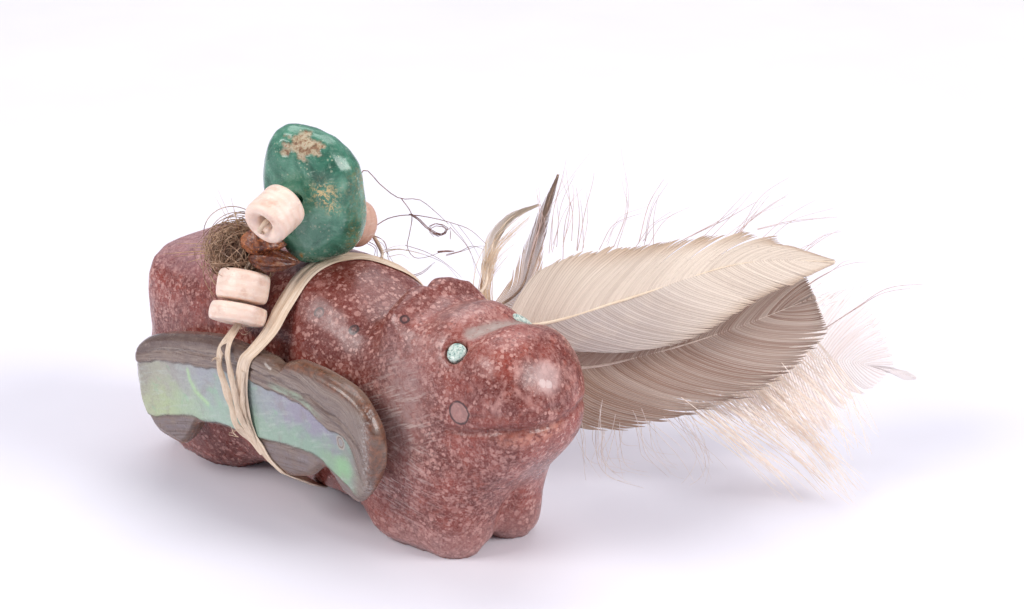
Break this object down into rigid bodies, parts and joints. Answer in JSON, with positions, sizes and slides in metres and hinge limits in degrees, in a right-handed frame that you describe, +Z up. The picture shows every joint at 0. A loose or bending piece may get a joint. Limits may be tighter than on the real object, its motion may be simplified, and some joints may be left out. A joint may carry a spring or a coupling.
{
  "type": "zuni fetish",
  "caption": "Small carved stone bear with inlaid eyes, carrying a polished nugget, shell beads, a strip of abalone and feathers tied on with sinew.",
  "frame": {"origin": "middle of the outer box, on the plane of the four soles", "axes": "+X towards the bear's head, +Y towards its left flank and the feathers, +Z up"},
  "size_m": [0.0936, 0.0904, 0.0587],
  "materials": {
    "red_stone": "polished speckled dark red stone",
    "pale_turquoise": "polished pale turquoise inlay",
    "green_turquoise": "tumbled glossy green turquoise with brown matrix",
    "bead_shell": "satin cream shell",
    "abalone_shell": "polished abalone with grey brown edges",
    "sinew": "dry fibrous split sinew",
    "husk": "brown resinous husk",
    "hair": "coiled brown hair",
    "cream_feather": "soft cream feather",
    "brown_feather": "grey brown feather",
    "pale_feather": "pale downy feather"
  },
  "bodies": {
    "root": {"bear_carving": "red_stone", "eye_right": "pale_turquoise", "eye_left": "pale_turquoise", "turquoise_nugget": "green_turquoise", "shell_bead_upper": "bead_shell", "shell_bead_thick": "bead_shell", "shell_bead_disc": "bead_shell", "shell_bead_far": "bead_shell", "seed_husk": "husk", "hair_tuft": "hair", "abalone_strip": "abalone_shell", "sinew_tie": "sinew", "feather_cream": "cream_feather", "feather_brown": "brown_feather", "feather_pale": "pale_feather", "feather_small_dark": "brown_feather", "feather_small_pale": "cream_feather"}
  },
  "joints": []
}
